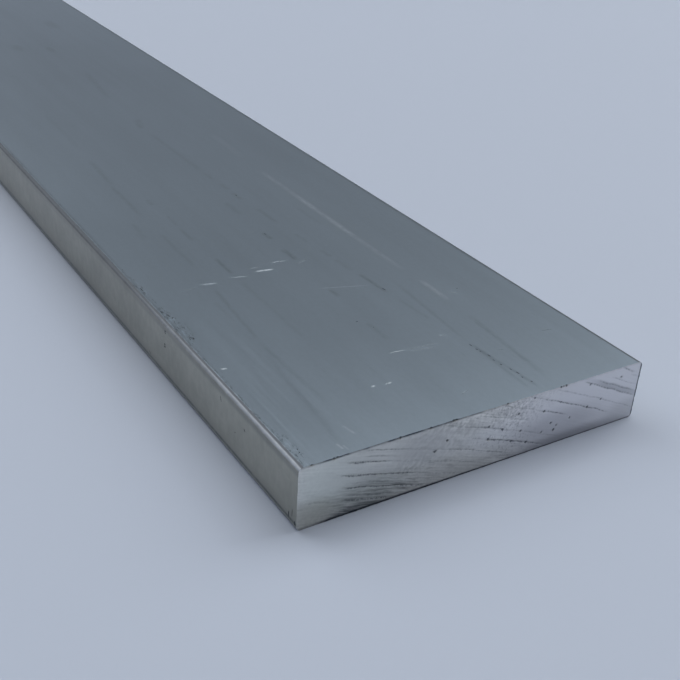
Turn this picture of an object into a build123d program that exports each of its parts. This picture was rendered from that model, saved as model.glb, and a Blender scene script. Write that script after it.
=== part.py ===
from build123d import *
import os

# Extruded aluminium flat bar, one and a half inches by a quarter, sawn to a one foot length.
# Row frame: +X along the bar, +Y across its width, +Z up through its thickness.
# The origin is the centre of the underside, so the bar lies flat on the XY plane.

INCH = 25.4  # millimetres

BAR_LENGTH = 12 * INCH  # from one sawn end to the other
BAR_WIDTH = 1.5 * INCH  # across the broad faces
BAR_THICKNESS = 0.25 * INCH  # between the broad faces
EDGE_RADIUS = 0.5  # the extrusion die's round on each of the four long edges

PARTS_FOLDER = "parts"


def extruded_section():
    """The shape of the die's opening: a rectangle whose four corners are just rounded over."""
    outline = RectangleRounded(BAR_WIDTH, BAR_THICKNESS, EDGE_RADIUS)
    return Pos(0, BAR_THICKNESS / 2) * outline


def section_plane():
    """The plane of the first saw cut, square to the bar: its x runs along +Y, its y along +Z."""
    return Plane(origin=(-BAR_LENGTH / 2, 0, 0), x_dir=(0, 1, 0), z_dir=(1, 0, 0))


def flat_bar():
    """One length of the extrusion. The saw leaves both ends flat, square and sharp all round."""
    return extrude(section_plane() * extruded_section(), amount=BAR_LENGTH)


def write_parts():
    """Write each piece of stock to its own STEP file."""
    os.makedirs(PARTS_FOLDER, exist_ok=True)
    export_step(flat_bar(), os.path.join(PARTS_FOLDER, "flat_bar.step"))


write_parts()
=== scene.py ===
import math
import random

import bpy
from mathutils import Matrix, Vector


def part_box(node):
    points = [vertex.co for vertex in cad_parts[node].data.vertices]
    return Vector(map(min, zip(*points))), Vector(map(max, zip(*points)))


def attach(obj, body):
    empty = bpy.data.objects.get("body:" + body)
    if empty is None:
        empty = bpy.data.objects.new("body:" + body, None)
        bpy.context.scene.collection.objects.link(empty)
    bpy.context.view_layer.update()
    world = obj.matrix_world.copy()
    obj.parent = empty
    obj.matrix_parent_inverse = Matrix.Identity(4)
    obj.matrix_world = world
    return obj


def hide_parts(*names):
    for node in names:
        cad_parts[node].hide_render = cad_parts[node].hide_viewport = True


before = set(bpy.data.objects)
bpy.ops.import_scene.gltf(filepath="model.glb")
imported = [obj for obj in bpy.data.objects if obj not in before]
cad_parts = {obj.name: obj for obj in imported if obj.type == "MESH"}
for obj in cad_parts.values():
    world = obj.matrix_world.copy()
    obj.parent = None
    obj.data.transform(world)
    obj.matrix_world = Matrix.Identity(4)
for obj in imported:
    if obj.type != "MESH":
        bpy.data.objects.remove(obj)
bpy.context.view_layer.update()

MM = 0.001
NODE = "flat_bar"

# The bar: +X along its length, +Y across its width, +Z up through its thickness.
BAR_LOW, BAR_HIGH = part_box(NODE)
LENGTH, WIDTH, THICKNESS = BAR_HIGH - BAR_LOW
SAWN_END = BAR_HIGH.x
NEAR_EDGE = BAR_LOW.y
EDGE_RADIUS = 0.5 * MM

# The mesh of the blank, fine enough on the sawn ends for a tooth mark.
CELL_WIDTH = 0.12 * MM
CELL_HEIGHT = 0.058 * MM
ROW_GATHER = 0.6  # how far the rows crowd into the rounded corners, 0 for evenly spaced
END_STATIONS = (0.15, 0.35, 1.0, 3.0, 8.0, 20.0)  # mm between the loops behind each sawn end
SAME_PLACE = 0.002 * MM
SMOOTH_ANGLE = math.radians(17)

# The circular saw that cut the ends. It came down past the near edge, so each tooth left a falling arc.
BLADE_RADIUS = 175.0  # mm
BLADE_CENTRE = -41.0  # mm across the bar, from its near edge
ARC_AT_EDGE = math.sqrt(BLADE_RADIUS ** 2 - BLADE_CENTRE ** 2)
TRACK_STEP = 0.25  # mm from point to point along an arc
TRACK_SEED = 5
BITE = (0.45, 1.2)  # how shallow and how deep a tooth mark wavers, to its own depth
BITE_STEP = 0.22  # the most that this changes from point to point
ALONG_ARC = 0.07  # how fast the saw's streaks change along its arcs, to 1 across them
DASH_ALONG_ARC = 0.16  # the same for the short dark dashes among them

# How deep the saw's relief is, and the sizes of its parts.
STREAK_DEPTH = 0.012 * MM
STREAK_SIZE = 0.3  # mm across a fine streak
TORN_DEPTH = 0.023 * MM
PIT_DEPTH = 0.08 * MM
EDGE_WEAR = 0.06 * MM
WEAR_REACH = 0.2  # mm from the rim over which the wear fades out
RELIEF_SEED = 3.0

# Camera
CAMERA_PLACE = Vector((210.12, -53.64, 55.83)) * MM
CAMERA_FORWARD = Vector((-0.7308, 0.4775, -0.4878))
CAMERA_RIGHT = Vector((0.5207, 0.8520, 0.0540))
SENSOR_WIDTH = 36.0
FOCAL_LENGTH = 55.49
CLIP_START = 5 * MM
CLIP_END = 50.0

# How matt each finish is
EXTRUDED_ROUGHNESS = 0.32
SAWN_ROUGHNESS = 0.4
SCRATCHED_ROUGHNESS = 0.55
RUBBED_ROUGHNESS = 0.5
GRIME_ROUGHNESS = 0.6
TABLE_ROUGHNESS = 0.7

# The height of the relief that is too fine for the mesh
DRAWN_RELIEF = 0.001 * MM
SAWN_RELIEF = 0.0015 * MM

# Patterns
NOISE = (0.3, 0.7)  # the range that most of a noise lies in
PATCH_CORE = 0.25  # the part of a patch, from its middle, that it covers fully
STROKE_TAPER = 0.2  # the part of a stroke, at each end, over which it fades out

# Colours of the metal
# The broad faces' cooler hue and the narrow faces' warmer hue are painted reflection on one metal.
BROAD_FACE = "#a4b4c3"
NARROW_FACE = "#a5a59c"
# The rounded corners' colours stand in for how the light falls on them. They are painted shade, darker on the
# upper part of the arc and far from the cut, and a painted highlight near the cut.
FAR_CORNER_PAINTED_SHADE = "#5d636a"
UPPER_CORNER_PAINTED_SHADE = "#6b7077"
LOWER_CORNER_PAINTED_SHADE = "#73787f"
CORNER_PAINTED_HIGHLIGHT = "#b2b8c0"
SAWN_FACE = "#e0dfdb"
FRESH_SCRATCH = "#a1abb3"
LIGHT_RUB = "#939ea8"
PALE_STREAK = "#c6d3df"
# grime's colour, on the narrow faces also used for painted shade and a painted contact shadow
GRIME_AND_SHADE = "#434a52"
# painted contact shadow at the foot of the sawn ends
PAINTED_FOOT_SHADOW = "#2e3338"

# Patches of another tone on the sawn ends, partly the cut's own tone and partly painted shade, which makes
# the low ones darker: the middle and half sizes of an oval (across the bar, and up, in mm), its colour, and
# how much of it shows.
SAWN_TONES_AND_SHADE = (
    ((33.0, 3.2, 17.0, 9.0), "#e3e2e5", 1.0), ((3.0, 4.2, 5.0, 4.0), "#dde4de", 0.6),
    ((9.0, 4.6, 9.5, 4.0), "#cccdca", 0.7), ((15.0, 4.2, 8.0, 2.4), "#cccccb", 0.6),
    ((7.0, 1.5, 5.5, 2.4), "#a6aaa6", 0.5), ((1.4, 1.4, 3.5, 2.0), "#b2b2a6", 0.5),
    ((28.0, 2.2, 7.5, 2.4), "#bcbcc0", 0.6), ((12.2, 4.8, 3.8, 2.6), "#bdbdbc", 0.6),
    ((16.8, 1.2, 6.5, 1.9), "#d4d3cf", 0.5), ((37.0, 1.2, 4.0, 1.8), "#bdbdbf", 0.5),
    ((29.5, 0.2, 9.0, 1.3), "#94949a", 0.7), ((20.2, 3.0, 4.5, 2.2), "#f2f3f6", 0.28),
)

# Studio
TABLE_COLOUR = "#abb5c6"
TABLE_REACH = 3.0
TABLE_FADE = (0.3, 0.85)  # metres from the bar's middle over which the table fades into a plain backdrop
LAMP_DISTANCE = 2.5
# Each lamp's name, its azimuth, elevation and reach from its middle to its rim (degrees, seen from the bar),
# and its radiance.
LAMPS = (
    ("key", 93, 35, 19, 2.6), ("fill", 204, 45, 25, 2.1),
    ("overhead", 111, 66, 24, 2.2), ("front", -10, 55, 15, 1.8),
)
DOME_FOOT = 0.1  # the sine of the elevation up to which the dome has the table's colour
# The dome's grey at some heights above that, as the sine of the elevation and the level.
DOME = ((0.27, 0.155), (0.4, 0.172), (0.6, 0.135), (1.0, 0.14))


def linear(hex_colour):
    """Turns an sRGB hex colour into the linear RGBA that a shader socket takes."""
    parts = [int(hex_colour[i:i + 2], 16) / 255 for i in (1, 3, 5)]
    return tuple(((p + 0.055) / 1.055) ** 2.4 if p > 0.04045 else p / 12.92 for p in parts) + (1.0,)


def add(tree, kind, inputs=(), **settings):
    """Adds one node with its settings. An input is a value, a socket, or a node, for its first output."""
    made = tree.nodes.new(kind)
    for name, value in settings.items():
        setattr(made, name, value)
    for key, value in inputs.items() if isinstance(inputs, dict) else enumerate(inputs):
        socket = made.inputs[key] if isinstance(key, int) else next(
            s for s in made.inputs if s.enabled and s.name == key)
        if isinstance(value, bpy.types.Node):
            value = next(s for s in value.outputs if s.enabled)
        if isinstance(value, bpy.types.NodeSocket):
            tree.links.new(value, socket)
        else:
            socket.default_value = value
    return made


def how_much(tree, *factors):
    """An amount, as the product of its factors.

    A factor is a value, or (value, low, high, at low, at high), which carries the value from one range to
    another, easing in and out and stopping at the ends.
    """
    made = None
    for factor in factors:
        if isinstance(factor, tuple):
            factor = add(tree, "ShaderNodeMapRange", factor, interpolation_type="SMOOTHSTEP")
        made = factor if made is None else add(tree, "ShaderNodeMath", [made, factor], operation="MULTIPLY")
    return made


def coated(tree, colour, *layers):
    """Lays colours over a colour in turn. A layer is its colour and how much of it shows, from 0 to 1."""
    for layer, cover in layers:
        under, over = (linear(c) if isinstance(c, str) else c for c in (colour, layer))
        colour = add(tree, "ShaderNodeMix", {"Factor": cover, "A": under, "B": over}, data_type="RGBA")
    return colour


def new_tree(name, inputs):
    """Starts a Geometry Nodes tree. inputs lists (name, socket kind) pairs."""
    tree = bpy.data.node_groups.new(name, "GeometryNodeTree")
    tree.interface.new_socket(name="Geometry", in_out="INPUT", socket_type="NodeSocketGeometry")
    for label, kind in inputs:
        tree.interface.new_socket(name=label, in_out="INPUT", socket_type="NodeSocket" + kind)
    tree.interface.new_socket(name="Geometry", in_out="OUTPUT", socket_type="NodeSocketGeometry")
    return tree, tree.nodes.new("NodeGroupInput").outputs


def shape_with(piece, tree, values):
    """Puts a tree on a piece as a modifier, and gives the tree's named inputs their values."""
    modifier = piece.modifiers.new(tree.name, "NODES")
    modifier.node_group = tree
    for item in tree.interface.items_tree:
        if item.in_out == "INPUT" and item.name in values:
            modifier[item.identifier] = values[item.name]


def blank_tree():
    """The extrusion before it is marked: a fine grid in the shape of the section, drawn out along the bar."""
    tree, given = new_tree("extruded blank", [
        ("Length", "Float"), ("Width", "Float"), ("Thickness", "Float"), ("Edge Radius", "Float"),
        ("Columns", "Int"), ("Rows", "Int"), ("Row Gather", "Float"), ("Surface", "Material")])
    length, width, thickness, radius = (given[n] for n in ("Length", "Width", "Thickness", "Edge Radius"))
    grid = add(tree, "GeometryNodeMeshGrid", {
        "Size X": width, "Size Y": thickness, "Vertices X": given["Columns"], "Vertices Y": given["Rows"]})
    place = add(tree, "ShaderNodeSeparateXYZ", [add(tree, "GeometryNodeInputPosition")])

    # A row's height: its even share of the thickness, moved towards the nearer face by a sine.
    part = add(tree, "ShaderNodeMath", [place.outputs["Y"], thickness], operation="DIVIDE")
    up = add(tree, "ShaderNodeMath", [part, 0.5], operation="ADD")
    turn = how_much(tree, up, math.tau)
    sway = add(tree, "ShaderNodeMath", [turn], operation="SINE")
    gather = add(tree, "ShaderNodeMath", [given["Row Gather"], math.tau], operation="DIVIDE")
    shift = how_much(tree, sway, gather)
    level = add(tree, "ShaderNodeMath", [up, shift], operation="SUBTRACT")
    height = how_much(tree, level, thickness)

    # How far a row is drawn in where it lies in the rounded corners, and so a column's place across it.
    above = add(tree, "ShaderNodeMath", [thickness, height], operation="SUBTRACT")
    from_face = add(tree, "ShaderNodeMath", [height, above], operation="MINIMUM")
    deep = add(tree, "ShaderNodeMath", [radius, from_face], operation="SUBTRACT")
    into_round = add(tree, "ShaderNodeMath", [deep, 0.0], operation="MAXIMUM")
    drop = how_much(tree, into_round, into_round)
    whole = how_much(tree, radius, radius)
    left = add(tree, "ShaderNodeMath", [whole, drop], operation="SUBTRACT")
    inset = add(tree, "ShaderNodeMath", [radius, add(tree, "ShaderNodeMath", [left], operation="SQRT")],
                operation="SUBTRACT")
    half = how_much(tree, width, 0.5)
    narrowed = add(tree, "ShaderNodeMath", [half, inset], operation="SUBTRACT")
    squeeze = add(tree, "ShaderNodeMath", [narrowed, half], operation="DIVIDE")
    across = how_much(tree, place.outputs["X"], squeeze)
    start = how_much(tree, length, -0.5)
    section = add(tree, "GeometryNodeSetPosition", {
        "Geometry": grid, "Position": add(tree, "ShaderNodeCombineXYZ", [start, across, height])})

    # Drawn out in steps that are short beside each end. The section itself, turned over, closes the start.
    forward = add(tree, "ShaderNodeCombineXYZ", [1.0])
    behind = [step * MM for step in END_STATIONS]
    middle = add(tree, "ShaderNodeMath", [length, 2 * sum(behind)], operation="SUBTRACT")
    drawn, moving = section.outputs["Geometry"], True
    for step in [*behind, middle, *reversed(behind)]:
        drawn = add(tree, "GeometryNodeExtrudeMesh", {
            "Mesh": drawn, "Selection": moving, "Offset": forward, "Offset Scale": step, "Individual": False})
        drawn, moving = drawn.outputs["Mesh"], drawn.outputs["Top"]
    back = add(tree, "GeometryNodeFlipFaces", {"Mesh": section})
    both = add(tree, "GeometryNodeJoinGeometry", {"Geometry": back})
    tree.links.new(drawn, both.inputs["Geometry"])
    closed = add(tree, "GeometryNodeMergeByDistance", {"Geometry": both, "Distance": SAME_PLACE})
    real = add(tree, "GeometryNodeRealizeInstances", {"Geometry": closed})
    add(tree, "NodeGroupOutput", [
        add(tree, "GeometryNodeSetMaterial", {"Geometry": real, "Material": given["Surface"]})])
    return tree


def scored_tree():
    """Cuts a shallow V along each path. A path's points say how far the V reaches to each side."""
    tree, given = new_tree("scored marks", [
        ("Paths", "Object"), ("Depth To Reach", "Float"), ("Surface", "Material")])
    paths = add(tree, "GeometryNodeObjectInfo", {"Object": given["Paths"]})
    curves = add(tree, "GeometryNodeMeshToCurve", {"Mesh": paths.outputs["Geometry"]})
    facing = add(tree, "GeometryNodeInputNamedAttribute", {"Name": "facing"}, data_type="FLOAT_VECTOR")
    turned = add(tree, "GeometryNodeSetCurveNormal", {"Curve": curves, "Normal": facing}, mode="FREE")
    tool = add(tree, "GeometryNodeCurvePrimitiveCircle", {"Resolution": 4, "Radius": 1.0})
    squash = add(tree, "ShaderNodeCombineXYZ", [given["Depth To Reach"], 1.0, 1.0])
    tool = add(tree, "GeometryNodeTransform", {"Geometry": tool.outputs["Curve"], "Scale": squash})
    reach = add(tree, "GeometryNodeInputNamedAttribute", {"Name": "reach"}, data_type="FLOAT")
    wedges = add(tree, "GeometryNodeCurveToMesh", {
        "Curve": turned, "Profile Curve": tool, "Scale": reach, "Fill Caps": True})
    wedges = add(tree, "GeometryNodeSetMaterial", {"Geometry": wedges, "Material": given["Surface"]})
    cut = add(tree, "GeometryNodeMeshBoolean", {"Mesh 1": given["Geometry"], "Mesh 2": wedges},
              operation="DIFFERENCE", solver="MANIFOLD")
    real = add(tree, "GeometryNodeRealizeInstances", {"Geometry": cut})
    scored = add(tree, "GeometryNodeMaterialSelection", [given["Surface"]])
    add(tree, "NodeGroupOutput", [add(tree, "GeometryNodeSetMaterial", {
        "Geometry": real, "Selection": scored, "Material": given["Surface"]})])
    return tree


def saw_place(tree, place):
    """Where a point of a sawn end lies: along the bar (mm), which end (1 or -1), how far across from its
    first edge and up from the underside (mm), and its feed (mm).

    The far end is the near end turned half round, so its first edge is on the other side of the bar.
    """
    scaled = add(tree, "ShaderNodeVectorMath", {0: place, "Scale": 1 / MM}, operation="SCALE")
    along, over, height = add(tree, "ShaderNodeSeparateXYZ", [scaled]).outputs
    side = add(tree, "ShaderNodeMath", [along], operation="SIGN")
    turned = how_much(tree, over, side)
    across = add(tree, "ShaderNodeMath", [turned, -NEAR_EDGE / MM], operation="ADD")
    off = add(tree, "ShaderNodeMath", [across, BLADE_CENTRE], operation="SUBTRACT")
    square = how_much(tree, off, off)
    rest = add(tree, "ShaderNodeMath", [BLADE_RADIUS ** 2, square], operation="SUBTRACT")
    arc = add(tree, "ShaderNodeMath", [rest], operation="SQRT")
    lift = add(tree, "ShaderNodeMath", [height, ARC_AT_EDGE], operation="ADD")
    feed = add(tree, "ShaderNodeMath", [lift, arc], operation="SUBTRACT")
    return along, side, across, height, feed


def patch(tree, first, second, spot):
    """1 in the middle of a soft oval and 0 outside it. A spot is its middle and its half sizes, in mm."""
    at, up, wide, tall = spot
    here = add(tree, "ShaderNodeCombineXYZ", [first, second])
    there = add(tree, "ShaderNodeVectorMath", [here, (at, up, 0.0)], operation="SUBTRACT")
    sized = add(tree, "ShaderNodeVectorMath", [there, (wide, tall, 1.0)], operation="DIVIDE")
    away = add(tree, "ShaderNodeVectorMath", [sized], operation="LENGTH").outputs["Value"]
    return how_much(tree, (away, PATCH_CORE, 1.0, 1.0, 0.0))


def stroke(tree, along, across, line):
    """1 along the middle of a soft line and 0 beside it. A line is its two ends and its half width, in mm."""
    a0, b0, a1, b1, reach = line
    part = add(tree, "ShaderNodeMapRange", [along, a0, a1])
    level = add(tree, "ShaderNodeMath", [part, b1 - b0, b0], operation="MULTIPLY_ADD")
    off = add(tree, "ShaderNodeMath", [across, level], operation="SUBTRACT")
    off = add(tree, "ShaderNodeMath", [off], operation="ABSOLUTE")
    return how_much(tree, (off, 0.0, reach, 1.0, 0.0), (part, 0.0, STROKE_TAPER, 0.0, 1.0),
                    (part, 1.0 - STROKE_TAPER, 1.0, 1.0, 0.0))


def torn_lumps(tree, across, height, side):
    """The lumps that tearing leaves, from 0 to 1, and how torn the metal is here, from 0 to 1."""
    own = how_much(tree, side, TORN_SEED)
    flat = add(tree, "ShaderNodeCombineXYZ", [across, height, own])
    leant = add(tree, "ShaderNodeVectorRotate", {"Vector": flat, "Angle": -TORN_LEAN}, rotation_type="Z_AXIS")
    drawn = add(tree, "ShaderNodeVectorMath", [leant, (TORN_STRETCH, 1.0, 1.0)], operation="MULTIPLY")
    lumps = add(tree, "ShaderNodeTexNoise", {
        "Vector": drawn, "Scale": 1 / TORN_SIZE, "Detail": 0.8, "Roughness": 0.5, "Distortion": 0.3})
    where = TORN_LEAST
    for spot in TORN_PATCHES:
        where = add(tree, "ShaderNodeMath", [patch(tree, across, height, spot), where], operation="MAXIMUM")
    return lumps.outputs[0], where


def sawn_tree():
    """Sinks into both sawn ends the tooth marks, the fine streaks between them, torn patches and pits."""
    tree, given = new_tree("sawn ends", [
        ("Tracks", "Object"), ("Pits", "Object"), ("Length", "Float"), ("Streak Depth", "Float"),
        ("Streak Size", "Float"), ("Torn Depth", "Float"), ("Pit Depth", "Float"), ("Edge Wear", "Float"),
        ("Wear Reach", "Float"), ("Seed", "Float"), ("Smooth Angle", "Float"), ("Unmarked", "Material"),
        ("Surface", "Material")])
    place = add(tree, "GeometryNodeInputPosition")
    along, side, across, height, feed = saw_place(tree, place)

    tracks = add(tree, "GeometryNodeObjectInfo", {"Object": given["Tracks"]}).outputs["Geometry"]
    near = add(tree, "GeometryNodeProximity", {"Geometry": tracks, "Sample Position": place},
               target_element="EDGES")
    point = add(tree, "GeometryNodeSampleNearest", {
        "Geometry": tracks, "Sample Position": near.outputs["Position"]})
    read = {}
    for name in ("reach", "depth"):
        value = add(tree, "GeometryNodeInputNamedAttribute", {"Name": name}, data_type="FLOAT")
        read[name] = add(tree, "GeometryNodeSampleIndex", {
            "Geometry": tracks, "Value": value, "Index": point})
    groove = how_much(tree, (near.outputs["Distance"], 0.0, read["reach"], read["depth"], 0.0))

    pits = add(tree, "GeometryNodeObjectInfo", {"Object": given["Pits"]}).outputs["Geometry"]
    by_pit = add(tree, "GeometryNodeProximity", {"Geometry": pits, "Sample Position": place},
                 target_element="POINTS")
    on_face = add(tree, "ShaderNodeCombineXYZ", [across, height, side])
    chipped = add(tree, "ShaderNodeTexNoise", {
        "Vector": on_face, "Scale": 2.6, "Detail": 2.0, "Roughness": 0.7})
    frayed = add(tree, "ShaderNodeMapRange", [chipped.outputs[0], *NOISE, -0.08 * MM, 0.06 * MM])
    from_pit = add(tree, "ShaderNodeMath", [by_pit.outputs["Distance"], frayed], operation="ADD")
    pit = how_much(tree, (from_pit, PIT_FLOOR * MM, PIT_RADIUS * MM, given["Pit Depth"], 0.0))

    own = how_much(tree, side, given["Seed"])
    drawn = add(tree, "ShaderNodeCombineXYZ", [feed, how_much(tree, across, ALONG_ARC), own])
    finer = add(tree, "ShaderNodeMath", [1.0, given["Streak Size"]], operation="DIVIDE")
    streak = add(tree, "ShaderNodeTexNoise", {
        "Vector": drawn, "Scale": finer, "Detail": 2.0, "Roughness": 0.6}).outputs[0]
    streaks = how_much(tree, streak, given["Streak Depth"])

    lumps, where = torn_lumps(tree, across, height, side)
    tearing = how_much(tree, (lumps, *TORN_NOISE, 0.0, given["Torn Depth"]), where)

    other = add(tree, "ShaderNodeMath", [THICKNESS / MM, height], operation="SUBTRACT")
    last = add(tree, "ShaderNodeMath", [WIDTH / MM, across], operation="SUBTRACT")
    low = add(tree, "ShaderNodeMath", [height, other], operation="MINIMUM")
    wide = add(tree, "ShaderNodeMath", [across, last], operation="MINIMUM")
    margin = add(tree, "ShaderNodeMath", [low, wide], operation="MINIMUM")
    on_own_face = add(tree, "ShaderNodeCombineXYZ", [across, height, own])
    nicked = add(tree, "ShaderNodeTexNoise", {
        "Vector": on_own_face, "Scale": 1.3, "Detail": 3.0, "Roughness": 0.7})
    uneven = add(tree, "ShaderNodeMapRange", [nicked.outputs[0], 0.35, 0.7, 0.15, 1.0])
    worn = how_much(tree, uneven, given["Edge Wear"])
    wear = how_much(tree, (margin, 0.0, given["Wear Reach"], worn, 0.0))

    sunk = add(tree, "ShaderNodeMath", [groove, pit], operation="MAXIMUM")
    for relief in (tearing, streaks, wear):
        sunk = add(tree, "ShaderNodeMath", [sunk, relief], operation="ADD")
    inward = add(tree, "ShaderNodeCombineXYZ", [how_much(tree, sunk, how_much(tree, side, -1.0))])
    far = how_much(tree, given["Length"], 0.5 / MM)
    reached = add(tree, "ShaderNodeMath", [far, SAME_PLACE / MM], operation="SUBTRACT")
    nearly = add(tree, "ShaderNodeMath", [far, END_STATIONS[0]], operation="SUBTRACT")
    from_middle = add(tree, "ShaderNodeMath", [along], operation="ABSOLUTE")
    on_end = add(tree, "ShaderNodeMath", [from_middle, reached], operation="GREATER_THAN")
    grime = add(tree, "ShaderNodeMath", [pit, given["Pit Depth"]], operation="DIVIDE", use_clamp=True)
    noted = add(tree, "GeometryNodeStoreNamedAttribute", {
        "Geometry": given["Geometry"], "Selection": on_end, "Name": "grime", "Value": grime},
        data_type="FLOAT", domain="POINT")
    carved = add(tree, "GeometryNodeSetPosition", {"Geometry": noted, "Selection": on_end, "Offset": inward})

    bend = add(tree, "GeometryNodeInputMeshEdgeAngle").outputs["Unsigned Angle"]
    gentle = add(tree, "FunctionNodeCompare", {"A": bend, "B": given["Smooth Angle"]}, operation="LESS_THAN")
    unmarked = add(tree, "GeometryNodeMaterialSelection", [given["Unmarked"]])
    marked = add(tree, "FunctionNodeBooleanMath", [unmarked], operation="NOT")
    marked = add(tree, "GeometryNodeFieldOnDomain", {"Value": marked}, data_type="BOOLEAN", domain="FACE")
    smooth = add(tree, "FunctionNodeBooleanMath", [gentle, marked], operation="NIMPLY")
    for domain, wanted in (("FACE", True), ("EDGE", smooth)):
        carved = add(tree, "GeometryNodeSetShadeSmooth", {"Geometry": carved, "Shade Smooth": wanted},
                     domain=domain)
    real = add(tree, "GeometryNodeRealizeInstances", {"Geometry": carved})
    facing = add(tree, "ShaderNodeSeparateXYZ", [add(tree, "GeometryNodeInputNormal")]).outputs["X"]
    endward = add(tree, "ShaderNodeMath", [add(tree, "ShaderNodeMath", [facing], operation="ABSOLUTE"), 0.5],
                  operation="GREATER_THAN")
    beyond = add(tree, "ShaderNodeMath", [from_middle, nearly], operation="GREATER_THAN")
    cut_face = how_much(tree, endward, beyond)
    add(tree, "NodeGroupOutput", [add(tree, "GeometryNodeSetMaterial", {
        "Geometry": real, "Selection": cut_face, "Material": given["Surface"]})])
    return tree


def helper(name, points, edges, values):
    """An object that only carries paths for a tree to read: its points, its edges and its points' values."""
    mesh = bpy.data.meshes.new(name)
    mesh.from_pydata(points, edges, [])
    for label, numbers in values.items():
        if isinstance(numbers[0], float):
            mesh.attributes.new(label, "FLOAT", "POINT").data.foreach_set("value", numbers)
        else:
            flat = [n for vector in numbers for n in vector]
            mesh.attributes.new(label, "FLOAT_VECTOR", "POINT").data.foreach_set("vector", flat)
    made = bpy.data.objects.new(name, mesh)
    bpy.context.scene.collection.objects.link(made)
    return made


# The marked long faces: where a place on one lies, from its distances to the sawn end and to the face's
# first edge in mm, and which way the face looks.
FACES = {
    "top": (lambda a, b: (SAWN_END + a * MM, NEAR_EDGE + b * MM, THICKNESS), (0.0, 0.0, 1.0)),
    "near": (lambda a, b: (SAWN_END + a * MM, NEAR_EDGE, b * MM), (0.0, -1.0, 0.0)),
}

# Marks, as (along, across, along, across, reach), in mm from the sawn end and from the face's first edge.
SCRATCHES = (
    (-33.5, 13.0, -33.1, 15.6, 0.16), (-12.2, 16.7, -12.0, 18.4, 0.06), (-7.6, 14.1, -7.7, 13.3, 0.11),
    (-7.8, 12.35, -7.85, 11.85, 0.11), (-16.6, 1.0, -16.4, 1.8, 0.12),
)
DASHES = (
    (-34.7, 15.9, -34.5, 18.2, 0.10), (-34.35, 12.7, -34.2, 14.6, 0.07), (-33.2, 10.1, -32.8, 12.3, 0.10),
    (-33.0, 6.6, -32.6, 8.6, 0.13), (-33.1, 18.0, -33.9, 20.3, 0.05),
)
RUBS = (
    (-11.7, 22.3, -12.0, 18.6, 0.04), (-11.1, 22.4, -11.6, 18.4, 0.04),
    (-12.9, 23.0, -12.7, 24.0, 0.05), (-3.5, 19.8, -3.1, 18.5, 0.04), (-32.7, 4.1, -32.4, 6.0, 0.04),
    (-8.1, 26.6, -7.8, 27.2, 0.06), (-20.4, 29.6, -19.4, 31.0, 0.04), (-9.2, 33.0, -8.9, 34.4, 0.04),
)
SCORES = (
    (-24.6, 23.75, -23.5, 23.9, 0.07), (-19.15, 17.45, -18.8, 17.3, 0.09), (-20.7, 31.4, -20.5, 31.0, 0.06),
    (-42.2, 19.15, -41.0, 19.2, 0.05), (-55.0, 21.5, -53.8, 21.5, 0.05), (-17.4, 18.25, -17.0, 18.2, 0.06),
    (-27.7, 1.25, -27.3, 1.2, 0.11), (-23.1, 1.3, -22.6, 1.3, 0.09), (-2.6, 1.25, -1.9, 1.15, 0.07),
    (-35.2, 0.8, -34.1, 0.85, 0.07), (-40.1, 0.75, -39.6, 0.8, 0.06), (-29.4, 0.7, -28.6, 0.75, 0.06),
)
SIDE_SCORES = (
    (-26.8, 5.55, -26.35, 5.5, 0.2), (-27.0, 3.95, -26.55, 3.9, 0.22), (-11.3, 3.0, -11.1, 3.0, 0.08),
    (-0.75, 2.4, -0.8, 0.7, 0.06), (-1.3, 1.5, -1.35, 0.6, 0.07), (-0.3, 1.2, -0.35, 0.4, 0.05),
    (-14.2, 5.2, -13.9, 4.3, 0.04), (-9.7, 4.6, -9.2, 4.1, 0.04), (-31.0, 1.2, -30.4, 0.9, 0.06),
)

# A die line that dirt has caught in, as (along, across) at its two ends, and how many specks it holds.
DIE_LINE = ((-10.6, 24.75), (-1.6, 25.7))
DIE_SPECKS = 10
DIE_SEED = 11

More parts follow.
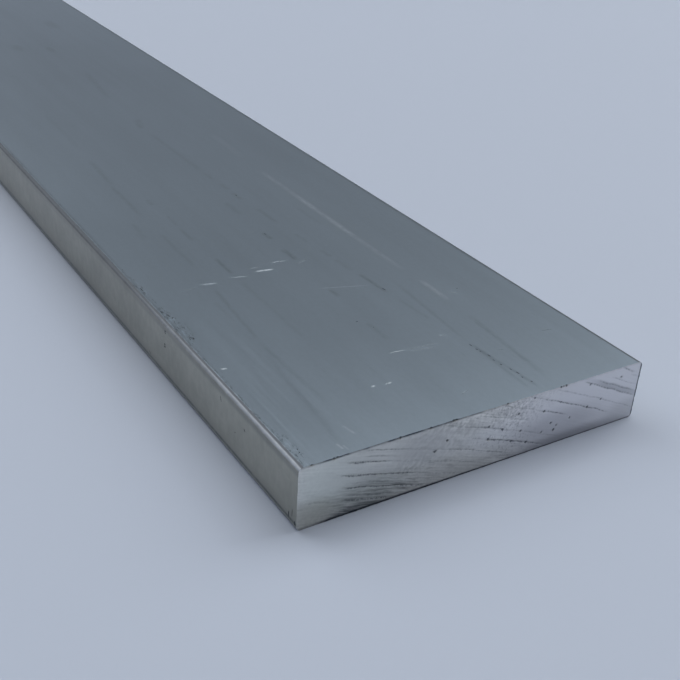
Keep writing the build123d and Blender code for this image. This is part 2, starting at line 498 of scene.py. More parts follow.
# Soft streaks in the broad face where the metal dragged through the die or over a bench: the two ends
# (along, across, along, across), the half width, and a tone below 0 for a darker streak.
DRAWN_STREAKS = (
    (-63.0, 21.2, -60.3, 21.2, 0.45, -0.08), (-58.8, 21.45, -56.2, 21.5, 0.5, -0.09),
    (-55.3, 21.4, -52.4, 21.5, 0.5, -0.11), (-49.8, 21.9, -43.8, 22.05, 0.5, -0.11),
    (-40.8, 22.4, -37.6, 22.5, 0.5, -0.07), (-35.4, 22.8, -33.2, 22.9, 0.5, -0.11),
    (-32.7, 23.0, -28.8, 23.2, 0.6, -0.07), (-28.4, 23.4, -22.8, 23.8, 0.4, -0.2),
    (-21.4, 24.0, -15.8, 24.35, 0.4, -0.08), (-52.8, 19.2, -48.2, 19.2, 0.7, -0.08),
    (-42.5, 19.1, -40.2, 19.15, 0.45, -0.2), (-37.5, 18.9, -34.0, 19.0, 0.55, -0.19),
    (-26.4, 18.6, -24.3, 18.6, 0.45, -0.16), (-18.6, 18.1, -14.2, 18.1, 0.5, -0.09),
    (-57.4, 10.7, -55.2, 10.7, 0.5, -0.09), (-51.8, 11.0, -48.2, 10.9, 0.45, -0.06),
    (-47.8, 10.8, -43.2, 10.7, 0.42, -0.1), (-38.5, 10.95, -33.8, 10.95, 0.4, -0.18),
    (-33.0, 11.0, -17.0, 10.9, 0.45, -0.06), (-64.0, 8.4, -52.2, 8.2, 0.5, -0.11),
    (-48.0, 8.15, -36.6, 8.05, 0.45, -0.07), (-32.4, 7.7, -19.2, 6.7, 0.42, -0.12),
    (-20.0, 6.6, -6.6, 7.0, 0.45, -0.08), (-17.6, 6.1, -0.2, 4.7, 0.5, -0.06),
    (-51.4, 6.5, -45.8, 6.0, 0.55, -0.07), (-29.2, 6.4, -23.8, 6.3, 0.35, -0.07),
    (-25.0, 25.9, -10.3, 24.9, 0.4, -0.08), (-10.8, 24.9, -0.2, 25.8, 0.36, -0.16),
    (-10.5, 25.0, -0.6, 24.8, 0.36, -0.1), (-15.8, 28.5, -1.6, 27.65, 0.5, -0.13),
    (-47.8, 26.6, -41.8, 26.6, 0.5, -0.06), (-82.0, 20.9, -62.0, 21.2, 0.6, -0.07),
    (-116.0, 23.4, -98.0, 21.4, 0.8, -0.07), (-88.0, 21.6, -83.0, 20.6, 0.9, -0.1),
    (-74.0, 9.2, -63.0, 8.6, 0.6, -0.09), (-96.0, 10.0, -76.0, 9.4, 0.7, -0.04),
)

# Paler streaks where something soft rubbed it, in the same way but with an amount from 0 to 1.
PALE_STREAKS = (
    (-62.0, 28.45, -44.0, 28.4, 0.6, 0.4), (-52.0, 28.4, -36.0, 28.4, 0.6, 0.42),
    (-46.0, 28.4, -26.0, 28.45, 0.58, 0.38), (-24.3, 28.7, -18.4, 28.7, 0.5, 0.54),
    (-78.0, 29.0, -66.0, 28.6, 0.8, 0.18), (-25.2, 23.2, -27.05, 17.3, 0.45, 0.8),
    (-3.8, 6.3, -2.1, 6.65, 0.2, 0.7), (-1.7, 4.45, -0.7, 4.6, 0.18, 0.7),
    (-1.3, 4.85, -0.4, 4.95, 0.14, 0.5),
)

# Where the broad face was rubbed into flecks beside its first edge, each as the middle and half sizes of
# an oval, in mm, and an amount from 0 to 1.
FLECKED = (((-2.6, 0.7, 5.0, 1.0), 0.6), ((-25.8, 0.8, 6.0, 1.2), 1.0), ((-34.0, 0.6, 6.5, 0.75), 0.7))

# Smudges on it, and broad darker areas, each as the middle and half sizes of an oval, in mm, and a tone. The
# broadest, over the far part of the top, is painted shade.
SMUDGES_AND_SHADE = (
    ((-149.5, 28.7, 5.0, 1.7), -0.09), ((-134.0, 17.5, 3.5, 1.4), -0.08),
    ((-3.0, 3.5, 14.0, 7.0), -0.03), ((-131.0, 22.6, 3.0, 0.9), -0.09), ((-2.0, 19.0, 30.0, 30.0), -0.05),
    # painted shade over the far part of the top
    ((-150.0, 12.0, 90.0, 45.0), -0.12),
)


LANE_GAP = 2.3  # from one strand of a mark to the next beside it, to a strand's half width
LAST_START = 0.9  # the part of a mark's length past which no strand starts
STRAND_GAP = (0.1, 1.4)  # from one strand to the next in its lane, to the length of the one before


def strands(marks, thinness, longest, shortest_share, seed):
    """Splits each mark into the finer strands that one rub leaves: side by side, broken, none very long."""
    picked = random.Random(seed)
    made = []
    for a0, b0, a1, b1, reach in marks:
        size = math.hypot(a1 - a0, b1 - b0)
        over = ((b1 - b0) / size, (a0 - a1) / size)
        lanes = max(1, round(reach / thinness))
        longest_share = min(1.0, longest / size)
        for lane in range(lanes):
            shift = (lane - (lanes - 1) / 2) * LANE_GAP * thinness
            start = picked.uniform(0.0, 1.0 - shortest_share) * longest_share
            while start < LAST_START:
                stop = min(1.0, start + picked.uniform(shortest_share, 1.0) * longest_share)
                ends = [(a0 + (a1 - a0) * t + over[0] * shift, b0 + (b1 - b0) * t + over[1] * shift)
                        for t in (start, stop)]
                made.append((*ends[0], *ends[1], thinness * picked.uniform(0.6, 1.1)))
                start = stop + picked.uniform(*STRAND_GAP) * (stop - start)
    return made


def die_specks():
    """Short specks strewn along the die line, as marks."""
    picked = random.Random(DIE_SEED)
    (a0, b0), (a1, b1) = DIE_LINE
    made = []
    for k in range(DIE_SPECKS):
        t = (k + picked.uniform(0.1, 0.9)) / DIE_SPECKS
        along = a0 + (a1 - a0) * t
        across = b0 + (b1 - b0) * t + picked.uniform(-0.12, 0.12)
        made.append((along, across, along + picked.uniform(0.12, 0.5), across + picked.uniform(-0.02, 0.05),
                     picked.uniform(0.03, 0.055)))
    return made


MARK_STEP = 0.4  # mm from point to point along a mark
LEAST_STEPS = 6
BLUNT = 0.08  # what is left of a mark's width at its very ends


def mark_paths(name, face, marks):
    """The paths of some marks on one long face, each tapering to a point at both ends."""
    locate, outward = FACES[face]
    points, edges, reaches = [], [], []
    for a0, b0, a1, b1, reach in marks:
        count = max(LEAST_STEPS, round(math.hypot(a1 - a0, b1 - b0) / MARK_STEP))
        for k in range(count + 1):
            t = k / count
            taper = max(BLUNT, math.sin(math.pi * t) ** 0.5)
            points.append(locate(a0 + (a1 - a0) * t, b0 + (b1 - b0) * t))
            reaches.append(reach * MM * taper)
            if k:
                edges.append((len(points) - 2, len(points) - 1))
    return helper(name, points, edges, {"reach": reaches, "facing": [outward] * len(points)})


# Tooth marks, as (feed, from, to, depth, reach) in mm: the feed is the height at which the mark's arc
# would leave the near edge, and from and to are measured across the bar.
TOOTH_MARKS = (
    (2.75, 0.3, 4.3, 0.015, 0.16), (2.75, 4.3, 9.3, 0.05, 0.16), (3.2, 4.3, 9.5, 0.02, 0.14),
    (4.0, 4.2, 13.2, 0.055, 0.15), (4.5, 5.0, 11.0, 0.015, 0.14), (5.25, 4.0, 11.8, 0.06, 0.15),
    (5.25, 11.8, 17.2, 0.02, 0.14), (6.55, 4.6, 9.2, 0.05, 0.15), (6.55, 9.2, 19.0, 0.02, 0.14),
    (7.1, 6.0, 9.0, 0.02, 0.12), (7.75, 6.0, 22.6, 0.03, 0.13), (9.0, 17.5, 19.2, 0.02, 0.12),
    (9.0, 19.2, 26.5, 0.05, 0.14), (10.17, 14.2, 22.5, 0.04, 0.14), (10.17, 22.5, 28.5, 0.018, 0.13),
    (11.4, 18.2, 24.6, 0.035, 0.14), (12.62, 20.7, 29.0, 0.045, 0.14), (13.9, 24.0, 34.5, 0.045, 0.14),
    (15.1, 27.0, 38.0, 0.02, 0.14), (16.45, 30.6, 37.9, 0.04, 0.16), (16.95, 32.4, 37.9, 0.03, 0.16),
    (17.7, 34.2, 38.0, 0.02, 0.14), (18.6, 36.8, 37.9, 0.03, 0.16), (19.0, 35.5, 37.4, 0.04, 0.18),
)

FULL_DEPTH = 0.05  # mm from which a tooth mark holds all the dirt it can

# A strip that rubbed on the blade, in its middle and half sizes: across the bar, and in feed.
STRIP = (35.2, 16.75, 5.2, 0.55)
STRIP_COLOUR = "#8d9096"
STRIP_COVER = 0.4

# Where the teeth smeared dirt along their arcs, as a middle and half sizes: across the bar, and up.
SMEAR = (7.0, 1.4, 6.0, 2.8)

# Where dirt caked at the foot of the cut, in the same way.
CAKED = (5.5, 0.25, 3.4, 0.75)

# Where small chips tore out in numbers, as a middle and half sizes: across the bar, and up.
PEPPERED = (24.0, 3.8, 9.0, 4.5)

# The faint lines that run between the tooth marks, in mm.
FAINT_SEED = 8
FAINT_START = 0.4  # the first one's feed
FAINT_FEEDS = 20.0  # the feed over which they are strewn
FAINT_PITCH = 0.31  # from one to the next
FAINT_JITTER = 0.06
FAINT_DEPTH = (0.004, 0.013)
FAINT_REACH = 0.12
FAINT_FIRST = (0.3, 4.0)  # across the bar, where a line's first stretch may start
FAINT_SPAN = (3.0, 11.0)  # a stretch's length
FAINT_GAP = (0.5, 6.0)  # from one stretch to the next
CLEAR_RIM = 0.2  # what they leave clear along the rim

# Pits torn out by chips, as (across, feed) in mm.
TORN_PITS = (
    (13.7, 7.5), (14.9, 8.65), (19.6, 9.0), (19.5, 10.3),
    (21.2, 10.15), (23.4, 10.2), (22.9, 12.0), (26.0, 12.6), (27.1, 11.45), (27.9, 11.3), (27.6, 10.75),
    (26.1, 10.3), (24.6, 13.85), (28.0, 13.9), (29.5, 12.35), (31.6, 13.9), (31.5, 16.4), (35.5, 18.0),
    (33.3, 15.1), (24.3, 9.0), (22.4, 8.95),
)
PIT_RADIUS = 0.17  # mm
PIT_FLOOR = 0.06  # mm from a pit's middle over which it is flat

# Nicks in the top edge of the sawn end, in mm across.
EDGE_NICKS = (1.2, 3.3, 3.6, 9.8, 12.9, 15.4, 15.7, 21.4, 27.7, 28.0, 28.3)
NICK_DROP = 0.05  # mm from the top edge down to a nick's middle

# The lumps where the blade tore the metal. They lean back from the teeth's path, up and away from the
# first edge.
TORN_SEED = 3.0
TORN_SIZE = 0.34  # mm
TORN_STRETCH = 0.7
TORN_LEAN = math.radians(52)
TORN_NOISE = (0.34, 0.66)  # the range of the noise from a hollow to a lump
TORN_LEAST = 0.05  # how torn the rest of the cut is

# Where it tore, as (across, up, half width, half height) in mm.
TORN_PATCHES = ((13.8, 4.8, 6.4, 2.8), (11.5, 3.4, 3.0, 1.6), (23.4, 4.7, 4.8, 2.6))


def arc_height(feed, across):
    """How high above the underside the arc with this feed stands, in mm."""
    return feed - ARC_AT_EDGE + math.sqrt(BLADE_RADIUS ** 2 - (across - BLADE_CENTRE) ** 2)


def faint_marks(seed):
    """The faint lines between the tooth marks: evenly fed, each in short stretches that caught the metal."""
    picked = random.Random(seed)
    made = []
    for k in range(round(FAINT_FEEDS / FAINT_PITCH)):
        feed = FAINT_START + FAINT_PITCH * k + picked.uniform(-FAINT_JITTER, FAINT_JITTER)
        across = picked.uniform(*FAINT_FIRST)
        while across < WIDTH / MM - 1.0:
            last = min(across + picked.uniform(*FAINT_SPAN), WIDTH / MM - CLEAR_RIM)
            if CLEAR_RIM < arc_height(feed, (across + last) / 2) < THICKNESS / MM - CLEAR_RIM:
                made.append((feed, across, last, picked.uniform(*FAINT_DEPTH), FAINT_REACH))
            across = last + picked.uniform(*FAINT_GAP)
    return made


def tooth_tracks():
    """Every tooth's arc, on both sawn ends: the far end's are the near end's turned half round."""
    picked = random.Random(TRACK_SEED)
    points, edges, reaches, depths = [], [], [], []
    for end in (1, -1):
        for feed, first, last, depth, reach in [*TOOTH_MARKS, *faint_marks(FAINT_SEED + end)]:
            count = max(2, round((last - first) / TRACK_STEP))
            level = 1.0
            for k in range(count + 1):
                across = first + (last - first) * k / count
                level = min(BITE[1], max(BITE[0], level + picked.uniform(-BITE_STEP, BITE_STEP)))
                taper = math.sin(math.pi * (k + 0.5) / (count + 1)) ** 0.25
                points.append((
                    end * SAWN_END, end * (NEAR_EDGE + across * MM), arc_height(feed, across) * MM))
                reaches.append(reach * MM)
                depths.append(depth * MM * taper * level)
                if k:
                    edges.append((len(points) - 2, len(points) - 1))
    return helper("tooth tracks", points, edges, {"reach": reaches, "depth": depths})


def torn_pits():
    """The middles of the pits, and of the nicks in the top edge, on both sawn ends."""
    spots = [(across, arc_height(feed, across)) for across, feed in TORN_PITS]
    spots += [(across, THICKNESS / MM - NICK_DROP) for across in EDGE_NICKS]
    points = [(end * SAWN_END, end * (NEAR_EDGE + across * MM), height * MM)
              for end in (1, -1) for across, height in spots]
    return helper("torn pits", points, [], {})


def aluminium(name, roughness):
    """Starts a bare metal. Gives it, its tree, its shader, and a point's place in metres and in mm."""
    made = bpy.data.materials.new(name)
    made.use_nodes = True
    tree = made.node_tree
    shader = tree.nodes["Principled BSDF"]
    shader.inputs["Metallic"].default_value = 1.0
    shader.inputs["Roughness"].default_value = roughness
    place = add(tree, "ShaderNodeTexCoord").outputs["Object"]
    scaled = add(tree, "ShaderNodeVectorMath", {0: place, "Scale": 1 / MM}, operation="SCALE")
    return made, tree, shader, place, scaled.outputs["Vector"]


def grain(tree, place, stretch, size, detail=2.0, roughness=0.55):
    """Noise about size mm across, drawn out by the stretch along each axis."""
    squeezed = add(tree, "ShaderNodeVectorMath", [place, tuple(1 / s for s in stretch)], operation="MULTIPLY")
    return add(tree, "ShaderNodeTexNoise", {
        "Vector": squeezed, "Scale": 1 / size, "Detail": detail, "Roughness": roughness}).outputs[0]


def drawn_streaks(tree, from_end, from_edge):
    """What the streaks, the smudges and the painted shade of the broad face add to its tone, and how much
    paler the pale streaks make it.
    """
    flat = add(tree, "ShaderNodeCombineXYZ", [from_end, from_edge])
    broken = how_much(tree, (grain(tree, flat, (2.5, 1.0, 1.0), 0.5), 0.32, 0.6, 0.55, 1.15))
    sums = []
    for streaks in (DRAWN_STREAKS, PALE_STREAKS):
        total = 0.0
        for *line, strength in streaks:
            total = add(tree, "ShaderNodeMath", [stroke(tree, from_end, from_edge, line), strength, total],
                        operation="MULTIPLY_ADD")
        sums.append(how_much(tree, total, broken))
    darker, paler = sums
    for spot, tone in SMUDGES_AND_SHADE:
        darker = add(tree, "ShaderNodeMath", [patch(tree, from_end, from_edge, spot), tone, darker],
                     operation="MULTIPLY_ADD")
    return darker, paler


def extruded_metal():
    """Mill-finish aluminium as it leaves the die: matt, with soft streaks along the bar on the broad faces
    and smudges on the narrow ones. The broad faces' cool hue and the narrow faces' warm hue are painted
    reflection, and the narrow faces are painted brighter towards the cut. The rounded corners carry painted
    shade and a painted highlight that fades away from the cut. Grime lies in specks beside the corners, with
    painted shade beside the long edges and a painted contact shadow at the foot of the narrow faces."""
    made, tree, shader, _, place = aluminium("extruded mill-finish aluminium", EXTRUDED_ROUGHNESS)
    along, over, height = add(tree, "ShaderNodeSeparateXYZ", [place]).outputs
    from_end = add(tree, "ShaderNodeMath", [along, SAWN_END / MM], operation="SUBTRACT")
    from_edge = add(tree, "ShaderNodeMath", [over, NEAR_EDGE / MM], operation="SUBTRACT")
    middle = THICKNESS / MM / 2
    insides = []
    for value, centre, half in (
            (along, 0.0, SAWN_END / MM), (over, 0.0, WIDTH / MM / 2), (height, middle, middle)):
        off = add(tree, "ShaderNodeMath", [value, centre], operation="SUBTRACT")
        away = add(tree, "ShaderNodeMath", [off], operation="ABSOLUTE")
        insides.append(add(tree, "ShaderNodeMath", [half, away], operation="SUBTRACT"))
    # mm inside the nearer end, the nearer long edge and the nearer broad face
    end_gap, gap, depth = insides
    upright = how_much(tree, (height, middle, middle + 1.0, 0.0, 1.0))
    narrow = how_much(tree, (gap, 0.1, 0.4, 1.0, 0.0))
    corner = how_much(tree, (gap, 0.42, 0.56, 1.0, 0.0), (depth, 0.22, 0.38, 1.0, 0.0))
    lean = add(tree, "ShaderNodeMath", [depth, gap], operation="SUBTRACT")
    flank = how_much(tree, (lean, -0.28, -0.1, 0.0, 1.0))

    # The die's fine lines and broad bands, then the blotches and flecks that handling leaves. Real die
    # lines lie a few hundredths of a millimetre apart, too fine to show, so they are drawn 0.22 mm wide.
    fine = grain(tree, place, (70.0, 1.0, 1.0), 0.22, 3.0, 0.65)
    broad = grain(tree, place, (40.0, 1.0, 1.0), 1.4)
    short = grain(tree, place, (9.0, 1.0, 1.0), 0.35)
    cloud = grain(tree, place, (2.5, 1.0, 1.0), 12.0, 3.0)
    mottle = grain(tree, place, (1.6, 1.0, 1.0), 0.45)
    smudge = grain(tree, place, (1.0, 1.0, 2.2), 0.8, 3.0, 0.65)
    blot = grain(tree, place, (1.4, 1.0, 1.0), 3.5, 3.0, 0.6)
    fleck = grain(tree, place, (3.0, 1.0, 1.0), 0.24, 3.0, 0.7)
    worn = grain(tree, place, (3.0, 1.0, 1.0), 0.7)
    caught = grain(tree, place, (1.0, 1.0, 1.0), 11.0)
    darker, paler = drawn_streaks(tree, from_end, from_edge)
    flecked = 0.0
    for spot, amount in FLECKED:
        zone = how_much(tree, patch(tree, from_end, from_edge, spot), amount)
        flecked = add(tree, "ShaderNodeMath", [zone, flecked], operation="MAXIMUM")

    tone = 1.0
    for change in (
            # all over
            [(fine, *NOISE, -0.008, 0.008)], [(broad, *NOISE, -0.012, 0.012)],
            [(cloud, *NOISE, -0.022, 0.022)], [(mottle, *NOISE, -0.012, 0.012)],
            [(short, 0.64, 0.8, 0.0, -0.05)],
            # the narrow faces: smudges and blots, and painted light that makes them brighter towards the cut
            [narrow, (smudge, *NOISE, -0.06, 0.06)], [narrow, (blot, *NOISE, -0.05, 0.05)],
            [narrow, (end_gap, 0.0, 45.0, 0.09, -0.13)],
            # the top: pale flecks beside its first edge, the streaks and smudges, and painted shade over its
            # far part
            [upright, flecked, (fleck, 0.36, 0.46, 0.3, 0.0)],
            [upright, darker]):
        tone = add(tree, "ShaderNodeMath", [tone, how_much(tree, *change)], operation="ADD")
    # The rounded corners: a painted highlight on the lower part of the arc, fading out over 45 mm from the
    # cut and broken by noise, over painted shade that is darker on the upper part of the arc and further from
    # the cut.
    rubbed = how_much(tree, (end_gap, 0.0, 45.0, 1.0, 0.0), (worn, 0.3, 0.6, 0.75, 1.0))
    lower = coated(tree, LOWER_CORNER_PAINTED_SHADE, (CORNER_PAINTED_HIGHLIGHT, rubbed))
    upper = coated(tree, FAR_CORNER_PAINTED_SHADE, (UPPER_CORNER_PAINTED_SHADE, how_much(tree, (end_gap, 0.0, 60.0, 1.0, 0.0))))
    base = coated(tree, BROAD_FACE, (PALE_STREAK, how_much(tree, upright, paler)), (NARROW_FACE, narrow),
                  (coated(tree, upper, (lower, flank)), corner))
    base = add(tree, "ShaderNodeVectorMath", {0: base, "Scale": tone}, operation="SCALE")

    beside = how_much(tree, (gap, 0.36, 0.5, 0.0, 1.0))
    close = how_much(tree, (gap, 0.6, 0.95, 1.0, 0.0))
    # Grime and painted shade, laid over the metal in one dark colour.
    dirt = 0.0
    for darkening in (
            # specks beside the corners
            [beside, close, (caught, 0.4, 0.6, 0.15, 0.5), (fleck, 0.49, 0.62, 0.0, 1.0)],
            [beside, flecked, (fleck, 0.54, 0.64, 0.0, 1.0)],
            # smudges darkening the narrow faces towards their foot, partly grime and partly painted shade,
            # and a painted contact-shadow line at their foot
            [narrow, (height, 0.5, 2.0, 0.2, 0.0), (smudge, 0.35, 0.65, 0.25, 1.0)],
            [narrow, (height, 0.46, 0.6, 0.0, 0.75), (height, 0.66, 0.98, 1.0, 0.0),
             (smudge, 0.3, 0.6, 0.6, 1.0)],
            # a line under their upper corner
            [narrow, upright, (depth, 0.2, 0.4, 0.0, 0.32), (depth, 0.6, 1.1, 1.0, 0.0),
             (end_gap, 12.0, 45.0, 1.0, 0.6)],
            # a line along the far edge of the top
            [upright, (over, 0.0, 1.0, 0.0, 0.55), (gap, 0.2, 0.35, 0.0, 1.0), (gap, 0.5, 0.72, 1.0, 0.0),
             (end_gap, 12.0, 60.0, 1.0, 0.2)],
            # a faint line of painted shade beside every long edge, away from the cut
            [beside, close, (end_gap, 16.0, 27.0, 0.0, 0.22)]):
        dirt = add(tree, "ShaderNodeMath", [dirt, how_much(tree, *darkening)], operation="MAXIMUM")
    base = coated(tree, base, (GRIME_AND_SHADE, dirt))
    tree.links.new(base.outputs["Result"], shader.inputs["Base Color"])
    matt = add(tree, "ShaderNodeMath", [
        how_much(tree, (fine, 0.25, 0.75, EXTRUDED_ROUGHNESS - 0.015, EXTRUDED_ROUGHNESS + 0.015)),
        how_much(tree, corner, 0.35)], operation="ADD")
    tree.links.new(matt.outputs[0], shader.inputs["Roughness"])
    bump = add(tree, "ShaderNodeBump", {"Strength": 1.0, "Distance": DRAWN_RELIEF, "Height": fine})
    tree.links.new(bump.outputs[0], shader.inputs["Normal"])
    return made


def tooth_lines(tree, across, feed):
    """How dark the dirt in the tooth marks makes a point, from 0 to 1."""
    dark = 0.0
    for at, first, last, depth, reach in TOOTH_MARKS:
        off = add(tree, "ShaderNodeMath", [feed, at], operation="SUBTRACT")
        off = add(tree, "ShaderNodeMath", [off], operation="ABSOLUTE")
        line = how_much(tree, (off, 0.0, reach, min(1.0, depth / FULL_DEPTH), 0.0),
                        (across, first - 0.2, first + 0.8, 0.0, 1.0),
                        (across, last - 1.2, last + 0.3, 1.0, 0.0))
        dark = add(tree, "ShaderNodeMath", [line, dark], operation="MAXIMUM")
    return dark


def sawn_metal():
    """Aluminium cut by a circular saw: paler than the mill finish, finely streaked along the teeth's arcs,
    blotched where it tore, with dirt in the tooth marks, the pits and the edges. It is painted darker towards
    its foot, with a painted contact shadow along the foot, and some of its patches of tone are painted shade."""
    made, tree, shader, raw, place = aluminium("saw-cut aluminium", SAWN_ROUGHNESS)
    _, side, across, height, feed = saw_place(tree, raw)
    waver = how_much(tree, (grain(tree, place, (2.0, 1.0, 1.0), 1.6, 1.0), *NOISE, -0.05, 0.05))
    feed = add(tree, "ShaderNodeMath", [feed, waver], operation="ADD")
    # Real tooth scratches are finer than can be shown, so the finest streaks are drawn 0.2 mm wide.
    turned, quick = (
        add(tree, "ShaderNodeCombineXYZ", [feed, how_much(tree, across, pace), side])
        for pace in (ALONG_ARC, DASH_ALONG_ARC))
    streak = grain(tree, turned, (1.0, 1.0, 0.2), 0.2, 3.0, 0.65)
    band = grain(tree, turned, (1.0, 1.0, 0.2), 0.6)
    dash = grain(tree, quick, (1.0, 1.0, 0.2), 0.27, 2.0, 0.6)
    speck = grain(tree, place, (1.0, 1.0, 1.0), 0.3)
    dots = grain(tree, place, (1.3, 1.0, 1.0), 0.24, 1.0)
    ragged = grain(tree, place, (1.0, 1.0, 1.0), 1.4, 3.0, 0.6)
    lumps, torn = torn_lumps(tree, across, height, side)
    streaked = how_much(tree, (across, 2.5, 6.0, 0.6, 1.0), (across, 26.0, 31.0, 1.0, 0.72))
    tone = 1.0
    for change in (
            # streaks, short dark dashes and bands along the arcs, and specks all over
            [streaked, (streak, *NOISE, -0.15, 0.13)],
            [streaked, (dash, 0.54, 0.72, 0.0, -0.24)],
            [streaked, (band, *NOISE, -0.09, 0.09)],
            [(speck, *NOISE, -0.05, 0.05)],
            # smeared dirt, chipped dots, torn lumps, and painted shade that darkens it towards the foot
            [patch(tree, across, height, SMEAR), (streak, 0.36, 0.64, -0.36, 0.08)],
            [patch(tree, across, height, PEPPERED), (dots, 0.56, 0.66, 0.0, -0.55)],
            [torn, (lumps, *TORN_NOISE, 0.11, -0.35)],
            [(height, 2.0, 4.6, -0.2, 0.0)]):
        tone = add(tree, "ShaderNodeMath", [tone, how_much(tree, *change)], operation="ADD")
    base = add(tree, "ShaderNodeVectorMath", {0: linear(SAWN_FACE)[:3], "Scale": tone}, operation="SCALE")
    # patches of tone, partly painted shade low down, and the rubbed strip
    base = coated(
        tree, base, *((colour, how_much(tree, patch(tree, across, height, spot), cover))
                      for spot, colour, cover in SAWN_TONES_AND_SHADE),
        (STRIP_COLOUR, how_much(tree, patch(tree, across, feed, STRIP), STRIP_COVER)))

    grime = add(tree, "ShaderNodeAttribute", attribute_name="grime").outputs["Fac"]
    top = add(tree, "ShaderNodeMath", [THICKNESS / MM, height], operation="SUBTRACT")
    last = add(tree, "ShaderNodeMath", [WIDTH / MM, across], operation="SUBTRACT")
    # A painted contact shadow along the foot of the cut, narrower and fainter towards the last side, fainter
    # at the first edge, and broken raggedly.
    lifted = how_much(tree, height, (across, 10.0, 24.0, 1.0, 1.6))
    foot_shadow = how_much(tree, (lifted, 0.13, 0.36, 1.0, 0.0), (ragged, 0.3, 0.6, 0.8, 1.0),
                    (across, 1.5, 3.2, 0.35, 1.0), (across, 20.0, 36.0, 1.0, 0.6))
    for dirt in (
            # in the tooth marks and the pits
            [tooth_lines(tree, across, feed), (speck, 0.36, 0.62, 1.0, 0.35), (torn, 0.2, 0.9, 0.75, 0.3)],
            [(grime, 0.1, 0.9, 0.0, 0.85), (speck, 0.3, 0.6, 0.6, 1.0)],
            # along the top rim
            [(top, 0.05, 0.24, 1.0, 0.0), (ragged, 0.36, 0.6, 0.55, 1.0), (across, 1.5, 3.0, 0.5, 1.0),
             (across, 12.0, 26.0, 1.0, 0.15)],
            # caked near the first corner, and down the last side
            [patch(tree, across, height, CAKED), (streak, 0.35, 0.6, 1.0, 0.5), 0.75],
            [(last, 0.1, 0.28, 1.0, 0.0), (ragged, 0.3, 0.6, 0.7, 0.95)]):
        base = coated(tree, base, (GRIME_AND_SHADE, how_much(tree, *dirt)))
    base = coated(tree, base, (PAINTED_FOOT_SHADOW, foot_shadow))
    tree.links.new(base.outputs["Result"], shader.inputs["Base Color"])
    matt = how_much(tree, (streak, 0.25, 0.75, SAWN_ROUGHNESS - 0.04, SAWN_ROUGHNESS + 0.08))
    tree.links.new(matt.outputs[0], shader.inputs["Roughness"])
    bump = add(tree, "ShaderNodeBump", {"Strength": 1.0, "Distance": SAWN_RELIEF, "Height": streak})
    tree.links.new(bump.outputs[0], shader.inputs["Normal"])
    return made


def mark_metal(name, colour, roughness):
    """The bottom of a mark: its colour broken along the mark, so that it glints in places."""
    made, tree, shader, _, place = aluminium(name, roughness)
    broken = how_much(tree, (grain(tree, place, (1.0, 1.0, 1.0), 0.3), *NOISE, 0.7, 1.1))
    base = add(tree, "ShaderNodeVectorMath", {0: linear(colour)[:3], "Scale": broken}, operation="SCALE")
    tree.links.new(base.outputs["Vector"], shader.inputs["Base Color"])
    return made


def make_bar():
    """The bar: the blank, the marks cut into it, then its sawn ends, all turned into one plain mesh."""
    extruded = extruded_metal()
    sawn = sawn_metal()
    fresh = mark_metal("freshly scratched aluminium", FRESH_SCRATCH, SCRATCHED_ROUGHNESS)
    rubbed = mark_metal("lightly rubbed aluminium", LIGHT_RUB, RUBBED_ROUGHNESS)
    grime = mark_metal("grime in the scores", GRIME_AND_SHADE, GRIME_ROUGHNESS)
    made = bpy.data.objects.new("extruded_flat_bar", bpy.data.meshes.new("extruded_flat_bar"))
    bpy.context.scene.collection.objects.link(made)
    tracks, pits = tooth_tracks(), torn_pits()
    shape_with(made, blank_tree(), {
        "Length": LENGTH, "Width": WIDTH, "Thickness": THICKNESS, "Edge Radius": EDGE_RADIUS,
        "Columns": round(WIDTH / CELL_WIDTH) + 1, "Rows": round(THICKNESS / CELL_HEIGHT) + 1,
        "Row Gather": ROW_GATHER, "Surface": extruded})
    score, helpers = scored_tree(), [tracks, pits]
    # Each kind of mark: its name, its face, its strands (half width and longest length in mm, the least share
    # of that length, seed), its depth to its half width, and its finish.
    for name, face, marks, steepness, surface in (
            ("scratches", "top", strands(SCRATCHES, 0.055, 4.0, 0.8, 2), 0.36, fresh),
            ("dashes", "top", strands(DASHES, 0.05, 4.0, 0.8, 4), 0.22, rubbed),
            ("rubs", "top", strands(RUBS, 0.045, 9.0, 0.8, 3), 0.14, rubbed),
            ("scores", "top", strands(SCORES, 0.05, 1.1, 0.3, 5) + die_specks(), 0.3, grime),
            ("side scores", "near", strands(SIDE_SCORES, 0.06, 1.1, 0.5, 6), 0.3, grime)):
        helpers.append(mark_paths(name, face, marks))
        shape_with(made, score, {"Paths": helpers[-1], "Depth To Reach": steepness, "Surface": surface})
    shape_with(made, sawn_tree(), {
        "Tracks": tracks, "Pits": pits, "Length": LENGTH, "Streak Depth": STREAK_DEPTH,
        "Streak Size": STREAK_SIZE, "Torn Depth": TORN_DEPTH, "Pit Depth": PIT_DEPTH,
        "Edge Wear": EDGE_WEAR, "Wear Reach": WEAR_REACH, "Seed": RELIEF_SEED,
        "Smooth Angle": SMOOTH_ANGLE, "Unmarked": extruded, "Surface": sawn})
    bpy.context.view_layer.update()
    solid = bpy.data.meshes.new_from_object(made.evaluated_get(bpy.context.evaluated_depsgraph_get()))
    made.modifiers.clear()
    made.data = solid
    solid.name = "extruded_flat_bar"
    for index in reversed(range(len(solid.materials))):
        if solid.materials[index] is None:
            solid.materials.pop(index=index)
    for spent in helpers:
        bpy.data.objects.remove(spent)
    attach(made, "root")
    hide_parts(NODE)


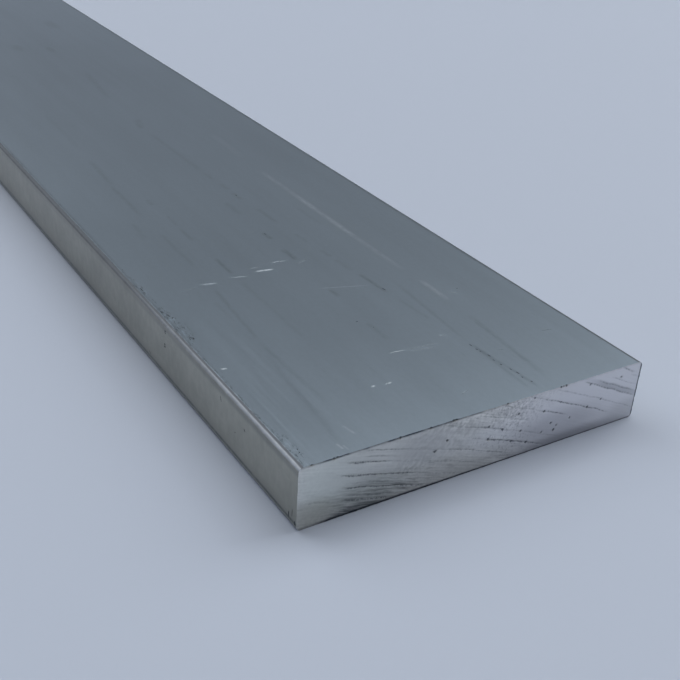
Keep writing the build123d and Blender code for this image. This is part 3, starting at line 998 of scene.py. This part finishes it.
def make_camera():
    """A camera that looks down the bar from beside its near sawn end."""
    data = bpy.data.cameras.new("camera")
    data.sensor_width = SENSOR_WIDTH
    data.lens = FOCAL_LENGTH
    data.clip_start = CLIP_START
    data.clip_end = CLIP_END
    forward = CAMERA_FORWARD.normalized()
    right = (CAMERA_RIGHT - CAMERA_RIGHT.dot(forward) * forward).normalized()
    turn = Matrix((right, right.cross(forward), -forward)).transposed()
    made = bpy.data.objects.new("camera", data)
    made.matrix_world = Matrix.Translation(CAMERA_PLACE) @ turn.to_4x4()
    bpy.context.scene.collection.objects.link(made)
    bpy.context.scene.camera = made


def make_table():
    """A table in matt pale paint, which takes the bar's soft shadow and hardly mirrors it. Away from the bar
    it fades into a plain backdrop of its own colour."""
    surface = bpy.data.materials.new("pale painted table")
    surface.use_nodes = True
    tree = surface.node_tree
    shader = tree.nodes["Principled BSDF"]
    shader.inputs["Base Color"].default_value = linear(TABLE_COLOUR)
    shader.inputs["Roughness"].default_value = TABLE_ROUGHNESS
    place = add(tree, "ShaderNodeTexCoord").outputs["Object"]
    away = add(tree, "ShaderNodeVectorMath", [place], operation="LENGTH").outputs["Value"]
    path = add(tree, "ShaderNodeLightPath").outputs
    seen = 0.0
    for kind in ("Is Camera Ray", "Is Glossy Ray", "Is Transmission Ray"):
        seen = add(tree, "ShaderNodeMath", [path[kind], seen], operation="MAXIMUM")
    backdrop = add(tree, "ShaderNodeEmission", {"Color": linear(TABLE_COLOUR), "Strength": 1.0})
    fade = how_much(tree, (away, *TABLE_FADE, 0.0, 1.0), seen)
    mixed = add(tree, "ShaderNodeMixShader", [fade, shader, backdrop])
    tree.links.new(mixed.outputs[0], tree.nodes["Material Output"].inputs["Surface"])
    mesh = bpy.data.meshes.new("table")
    r = TABLE_REACH
    mesh.from_pydata([(-r, -r, 0), (r, -r, 0), (r, r, 0), (-r, r, 0)], [], [(0, 1, 2, 3)])
    mesh.materials.append(surface)
    made = bpy.data.objects.new("table", mesh)
    bpy.context.scene.collection.objects.link(made)


def make_lamp(name, azimuth, elevation, reach, radiance):
    """A round soft lamp in the given direction from the bar, turned to face it."""
    level = math.cos(elevation)
    away = Vector((level * math.cos(azimuth), level * math.sin(azimuth), math.sin(elevation)))
    radius = LAMP_DISTANCE * math.tan(reach)
    data = bpy.data.lights.new(name, "AREA")
    data.shape = "DISK"
    data.size = 2 * radius
    data.energy = radiance * math.pi ** 2 * radius ** 2
    made = bpy.data.objects.new(name, data)
    made.location = away * LAMP_DISTANCE
    made.rotation_euler = away.to_track_quat("Z", "Y").to_euler()
    bpy.context.scene.collection.objects.link(made)


def make_studio():
    """A dome with the table's colour at its foot and a dim grey above, and the lamps."""
    world = bpy.data.worlds.new("studio")
    bpy.context.scene.world = world
    world.use_nodes = True
    tree = world.node_tree
    tree.nodes.clear()
    direction = add(tree, "ShaderNodeTexCoord").outputs["Generated"]
    height = add(tree, "ShaderNodeSeparateXYZ", {0: direction}).outputs["Z"]
    ramp = add(tree, "ShaderNodeValToRGB", {0: height})
    stops = ramp.color_ramp.elements
    stops[0].position, stops[0].color = DOME_FOOT, linear(TABLE_COLOUR)
    stops[1].position, stops[1].color = DOME[0][0], (*[DOME[0][1]] * 3, 1.0)
    for position, value in DOME[1:]:
        stops.new(position).color = (value, value, value, 1.0)
    dome = add(tree, "ShaderNodeBackground", {"Color": ramp})
    add(tree, "ShaderNodeOutputWorld", {"Surface": dome})
    for name, *angles, radiance in LAMPS:
        make_lamp(name, *map(math.radians, angles), radiance)


bpy.context.scene.view_settings.view_transform = "Standard"
make_camera()
make_table()
make_studio()
make_bar()
